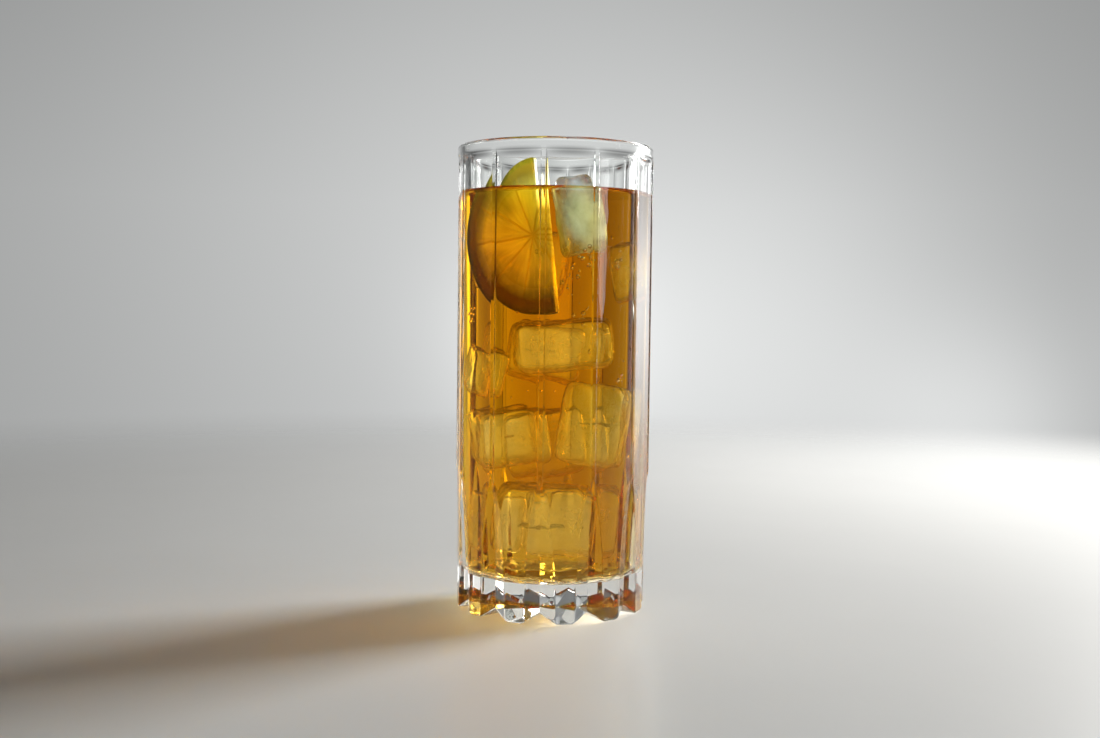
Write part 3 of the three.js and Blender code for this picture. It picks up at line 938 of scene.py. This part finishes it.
class HIGHBALL_OT_lime(bpy.types.Operator):
    """Builds the half wheel of lime"""

    bl_idname = "highball.lime"
    bl_label = "Lime Half Wheel"

    def execute(self, context):
        lime = context.scene.highball.lime
        half = lime.thickness / 2 - lime.relief
        rows = np.array(lime_points(lime))
        columns = rows.shape[1]
        points = np.vstack([[(0, 0, half)], rows.reshape(-1, 3), [(0, 0, -half)]])
        away = np.hypot(points[:, 0], points[:, 1])
        turns = np.arctan2(points[:, 1], points[:, 0])
        on_face = np.abs(points[:, 2]) > half - 1e-7
        points[:, 2] += np.sign(points[:, 2]) * flesh_relief(lime, away, turns) * on_face
        last = len(points) - 1
        faces = []
        for j in range(columns):
            k = (j + 1) % columns
            faces.append((0, 1 + j, 1 + k))
            for row in range(len(rows) - 1):
                base = 1 + row * columns
                faces.append((base + j, base + columns + j, base + columns + k, base + k))
            faces.append((last - columns + k, last - columns + j, last))
        obj = new_object("lime_slice", points, faces, cut_lime(lime, context.scene.highball.drink.level))
        uv = obj.data.uv_layers.new(name="slice")
        corner_points = np.zeros(len(obj.data.loops), int)
        obj.data.loops.foreach_get("vertex_index", corner_points)
        uv.data.foreach_set("uv", (points[corner_points, :2] / (2 * lime.radius) + 0.5).ravel())
        obj.data.transform(lime_place(lime))
        close_seams(obj)
        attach(obj, BODY)
        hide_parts("lime_half_wheel")
        return {"FINISHED"}


def close_seams(obj):
    """Merges doubled points and points every face outward."""
    shape = bmesh.new()
    shape.from_mesh(obj.data)
    bmesh.ops.remove_doubles(shape, verts=shape.verts, dist=0.001 * MM)
    bmesh.ops.dissolve_degenerate(shape, edges=shape.edges, dist=0.001 * MM)
    bmesh.ops.recalc_face_normals(shape, faces=shape.faces)
    shape.to_mesh(obj.data)
    shape.free()


# Drink and bubbles


def bubble_tree(material):
    """Sets a small round bubble on each point, with the radius that the point holds."""
    tree, given = new_tree("Bubbles", {"Growth": 1.0})
    ball = add(tree, "GeometryNodeMeshIcoSphere", {"Radius": 1.0, "Subdivisions": 2}, out="Mesh")
    held = add(tree, "GeometryNodeInputNamedAttribute", {"Name": "radius"}, data_type="FLOAT")
    radius = add(tree, MATH, {0: held, 1: given["Growth"]}, operation="MULTIPLY")
    placed = add(tree, "GeometryNodeInstanceOnPoints", {
        "Points": given["Geometry"], "Instance": ball, "Scale": radius,
    })
    close_tree(tree, placed, material)
    return tree


class HIGHBALL_OT_drink(bpy.types.Operator):
    """Fills the glass with the drink, open round the lime, the ice and the bubbles"""

    bl_idname = "highball.drink"
    bl_label = "Drink and Bubbles"

    def execute(self, context):
        settings = context.scene.highball
        glass, drink = settings.glass, settings.drink
        material = amber_drink(drink)
        objects = bpy.data.objects
        lime, top_ice, sunk_ice = (objects[n] for n in ("lime_slice", "ice_at_surface", "sunk_ice"))
        wall = cavity_profile(glass, drink.reach, drink.level)
        brim = wall[0][0]
        across = brim * np.sin(np.linspace(math.pi / 2, 0, 60))
        surface = [(r, drink.level) for r in across]
        profile = wall[:0:-1] + surface
        angles = np.linspace(0, 2 * math.pi, 240, endpoint=False)
        points, faces = revolved(*np.array(profile).T, angles)
        trees = [BVHTree.FromPolygons(*mesh_arrays(o)[::2]) for o in (lime, top_ice)]
        for i in np.flatnonzero(points[:, 2] >= drink.level - 1e-6):
            to_wall = brim - math.hypot(*points[i, :2])
            near = min(to_wall, *(t.find_nearest(points[i])[3] for t in trees))
            points[i, 2] += drink.meniscus * math.exp(-near / drink.meniscus_width)
        obj = new_object("amber_drink", points, faces, material)
        for solid in (lime, top_ice):
            cut_round(obj, solid, drink.reach)
        points, _, faces = mesh_arrays(obj)
        shells = [shrunk(sunk_ice, drink.reach), bubble_shells(settings, material)]
        for shell_points, shell_faces in shells:
            start = len(points)
            points = np.vstack([points, shell_points])
            faces = faces + [tuple(start + v for v in reversed(f)) for f in shell_faces]
        objects.remove(obj)
        obj = new_object("amber_drink", points, faces, material)
        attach(obj, BODY)
        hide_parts("drink")
        return {"FINISHED"}


def shrunk(obj, reach):
    """An object's points drawn in by a reach, with its faces, and without the cracks of ice."""
    points, normals, faces = mesh_arrays(obj)
    if "local" in obj.data.attributes:
        local = np.zeros(3 * len(points))
        obj.data.attributes["local"].data.foreach_get("vector", local)
        outside = np.linalg.norm(local.reshape(-1, 3), axis=1) > 0.1
        number = np.cumsum(outside) - 1
        faces = [tuple(int(number[v]) for v in face) for face in faces if outside[face[0]]]
        points, normals = points[outside], normals[outside]
    return points - normals * reach, faces


def cut_round(obj, solid, reach):
    """Cuts a solid out of the drink, so that the drink reaches just into it."""
    cutter = new_object("cutter", *shrunk(solid, reach))
    modifier = obj.modifiers.new("Round", "BOOLEAN")
    modifier.operation = "DIFFERENCE"
    modifier.solver = "MANIFOLD"
    modifier.object = cutter
    plain_mesh(obj)
    bpy.data.objects.remove(cutter)
    if not obj.data.polygons:
        raise RuntimeError(f"cutting the drink round {solid.name} left nothing")


def wall_radius(glass, height):
    """Inside radius of the glass at a height above its rounded corner."""
    fillet_top = glass.cavity_floor + glass.cavity_fillet
    along = max(height - fillet_top, 0) / (glass.height - glass.lip / 2 - fillet_top)
    return glass.cavity_radius + (glass.radius - glass.lip - glass.cavity_radius) * along


def bubble_shells(settings, material):
    """Points and faces of the bubbles, kept clear of the wall, the ice and the lime."""
    glass, drink, bubbles = settings.glass, settings.drink, settings.bubbles
    rng = np.random.default_rng(bubbles.seed)
    floor = glass.cavity_floor
    corner = glass.cavity_radius - glass.cavity_fillet
    places = []
    for _ in range(bubbles.floor_count):
        turn = rng.uniform(0, 2 * math.pi)
        away = corner + rng.uniform(-2, 3.4) * MM
        rise = max(0.0, away - corner)
        lift = glass.cavity_fillet - math.sqrt(max(glass.cavity_fillet ** 2 - rise ** 2, 0))
        size_here = bubbles.fine * rng.uniform(0.7, 1.8)
        height = floor + lift + size_here * 1.6
        places.append((away * math.sin(turn), -away * math.cos(turn), height, size_here))
    for cluster in BUBBLE_CLUSTERS:
        for _ in range(bubbles.cluster_count):
            x, y, z = (np.array(cluster) + rng.normal(0, 1.5, 3)) * MM
            size_here = bubbles.fine + (bubbles.coarse - bubbles.fine) * rng.random() ** 1.5
            places.append((x, y, z, size_here))
    for _ in range(bubbles.loose_count):
        turn = rng.uniform(0, 2 * math.pi)
        away = rng.uniform(0.3, 0.97) * glass.cavity_radius
        height = rng.uniform(floor + 4 * MM, drink.level - 3 * MM)
        size_here = bubbles.fine + (bubbles.coarse - bubbles.fine) * rng.random() ** 2
        places.append((away * math.sin(turn), -away * math.cos(turn), height, size_here))
    solids = [bpy.data.objects[n] for n in ("lime_slice", "ice_at_surface", "sunk_ice")]
    trees = [BVHTree.FromPolygons(*mesh_arrays(o)[::2]) for o in solids]
    kept = []
    for x, y, z, radius in places:
        spot = Vector((x, y, z))
        clear = math.hypot(x, y) + radius < wall_radius(glass, z) - 0.3 * MM
        for tree in trees:
            hit, normal, _, distance = tree.find_nearest(spot)
            inside = (spot - hit).dot(normal) < 0
            clear = clear and not inside and distance > radius + 0.15 * MM
        clear = clear and all((spot - Vector(k[:3])).length > radius + k[3] + 0.05 * MM for k in kept)
        if clear:
            kept.append((x, y, z, radius))
    obj = new_object("bubbles", [k[:3] for k in kept], [])
    radii = obj.data.attributes.new("radius", "FLOAT", "POINT")
    radii.data.foreach_set("value", [k[3] for k in kept])
    shaped_by(bubble_tree(material), obj)
    points, _, faces = mesh_arrays(obj)
    bpy.data.objects.remove(obj)
    return points, faces


# Floor, light and camera


class HIGHBALL_OT_stage(bpy.types.Operator):
    """Lays the floor and sets the light and the camera"""

    bl_idname = "highball.stage"
    bl_label = "Floor, Light and Camera"

    def execute(self, context):
        stage = context.scene.highball.stage
        scene = context.scene
        rim = 96
        turn = np.linspace(0, 2 * math.pi, rim, endpoint=False)
        points = [(0, 0, 0)]
        for r in (0.3, 0.6, 1.0):
            points.extend((r * math.cos(t), r * math.sin(t), 0) for t in turn)
        faces = [(0, 1 + j, 1 + (j + 1) % rim) for j in range(rim)]
        for row in range(2):
            base = 1 + row * rim
            for j in range(rim):
                k = (j + 1) % rim
                faces.append((base + j, base + rim + j, base + rim + k, base + k))
        floor = new_object("floor", points, faces, satin_floor(stage))
        set_world(scene)
        key = area_lamp("key", (0.73, 0.5, 0.42), (0, 0, 0.05), (0.34, 0.48), stage.key_power)
        key.data.color = (1.0, 0.99, 0.97)
        fill = area_lamp("fill", (-0.05, -0.6, 0.11), (0, 0, 0.125), (0.3, 0.16), stage.fill_power)
        fill.data.color = (0.82, 0.93, 1.0)
        fill.data.spread = math.radians(40)
        fill.visible_glossy = False
        fill.visible_transmission = False
        strip_place = (0.557, -0.129, 0.21)
        strip = area_lamp("strip", strip_place, (0.02, -0.03, 0.15), (0.006, 0.24), stage.strip_power)
        strip.data.shape = "ELLIPSE"
        set_camera(scene, stage)
        set_light_paths(scene)
        return {"FINISHED"}


def area_lamp(name, place, aim, sides, power):
    """A soft rectangular lamp that looks at a point."""
    lamp = bpy.data.lights.new(name, "AREA")
    lamp.shape = "RECTANGLE"
    lamp.size, lamp.size_y = sides
    lamp.energy = power
    obj = bpy.data.objects.new(name, lamp)
    direction = Vector(aim) - Vector(place)
    obj.location = place
    obj.rotation_euler = direction.to_track_quat("-Z", "Y").to_euler()
    bpy.context.scene.collection.objects.link(obj)
    return obj


def set_world(scene):
    """A grey studio: paler behind the glass and to the right, darker above, in front and far left."""
    world = bpy.data.worlds.new("studio")
    world.use_nodes = True
    tree = world.node_tree
    tree.nodes.clear()
    look = add(tree, "ShaderNodeTexCoord", out="Generated")
    parts = add(tree, "ShaderNodeSeparateXYZ", {"Vector": look}, out=None)
    height = add(tree, MAP_RANGE, {
        "Value": parts.outputs["Z"], "From Min": 0.08, "From Max": 0.6, "To Min": 0.34, "To Max": 0.13,
    })
    behind = add(tree, MAP_RANGE, {
        "Value": parts.outputs["Y"], "From Min": -0.35, "From Max": 0.5, "To Min": 0.2, "To Max": 1.0,
    }, interpolation_type="SMOOTHSTEP")
    left = add(tree, MAP_RANGE, {
        "Value": parts.outputs["X"], "From Min": -0.68, "From Max": -0.4, "To Min": 0.35, "To Max": 1.0,
    }, interpolation_type="SMOOTHSTEP")
    level = add(tree, MATH, (height, behind), operation="MULTIPLY")
    level = add(tree, MATH, (level, left), operation="MULTIPLY")
    glows = (
        ((0.0, 1, 0.05), 17, 0.28),
        ((0.0, 1, -0.02), 320, 0.25),
        ((0.16, 1, -0.05), 70, 0.2),
        ((0.34, 1, -0.1), 250, 0.22),
        ((0.545, 0.839, 0.0), 300, 2.5),
        ((0.66, 0.75, 0.0), 150, 3.0),
        ((0.85, 0.53, 0.06), 50, 5.2),
    )
    for toward, tightness, strength in glows:
        facing = add(tree, VECTOR_MATH, {
            0: look, 1: tuple(Vector(toward).normalized()),
        }, out="Value", operation="DOT_PRODUCT")
        ahead = add(tree, MATH, (facing, 0.0), operation="MAXIMUM")
        lobe = add(tree, MATH, (ahead, float(tightness)), operation="POWER")
        level = add(tree, MATH, (lobe, strength, level), operation="MULTIPLY_ADD")
    colour = add(tree, VECTOR_MATH, {0: (0.985, 1.0, 0.995), "Scale": level}, operation="SCALE")
    background = add(tree, "ShaderNodeBackground", {"Color": colour})
    add(tree, "ShaderNodeOutputWorld", {"Surface": background}, out=None)
    scene.world = world


def set_camera(scene, stage):
    """The photograph's camera: level with the drink, looking slightly down."""
    data = bpy.data.cameras.new("camera")
    data.sensor_fit = "HORIZONTAL"
    data.sensor_width = 36
    data.lens = data.sensor_width * stage.focal_pixels / IMAGE_WIDTH
    data.clip_start = 0.01
    camera = bpy.data.objects.new("camera", data)
    camera.location = (stage.camera_side, -stage.camera_distance, stage.camera_height)
    look = Matrix.Rotation(math.pi / 2 - stage.camera_pitch, 4, "X")
    roll = Matrix.Rotation(stage.camera_roll, 4, "Z")
    camera.rotation_euler = (look @ roll).to_euler()
    scene.collection.objects.link(camera)
    scene.camera = camera


def set_light_paths(scene):
    """Enough bounces for glass, drink and ice inside one another, with no mirrored caustics."""
    scene.cycles.max_bounces = 48
    scene.cycles.transmission_bounces = 48
    scene.cycles.glossy_bounces = 12
    scene.cycles.diffuse_bounces = 4
    scene.cycles.transparent_max_bounces = 48
    scene.cycles.caustics_refractive = True
    scene.cycles.caustics_reflective = False
    scene.cycles.use_denoising = True
    scene.view_settings.view_transform = "Standard"


class HIGHBALL_PT_parts(bpy.types.Panel):
    """Lists the pieces of the drink"""

    bl_label = "Gin Highball"
    bl_idname = "HIGHBALL_PT_parts"
    bl_space_type = "VIEW_3D"
    bl_region_type = "UI"
    bl_category = "Highball"

    def draw(self, context):
        for operator in OPERATORS:
            self.layout.operator(operator.bl_idname)


SETTINGS = (
    GlassSettings, DrinkSettings, IceSettings, BubbleSettings, LimeSettings, StageSettings, HighballSettings,
)
OPERATORS = (HIGHBALL_OT_glass, HIGHBALL_OT_ice, HIGHBALL_OT_lime, HIGHBALL_OT_drink, HIGHBALL_OT_stage)


def register():
    for cls in (*SETTINGS, *OPERATORS, HIGHBALL_PT_parts):
        bpy.utils.register_class(cls)
    bpy.types.Scene.highball = PointerProperty(type=HighballSettings)


def unregister():
    del bpy.types.Scene.highball
    for cls in reversed((*SETTINGS, *OPERATORS, HIGHBALL_PT_parts)):
        bpy.utils.unregister_class(cls)


def main():
    register()
    bpy.ops.highball.glass()
    bpy.ops.highball.ice()
    bpy.ops.highball.lime()
    bpy.ops.highball.drink()
    bpy.ops.highball.stage()


if __name__ == "__main__":
    main()
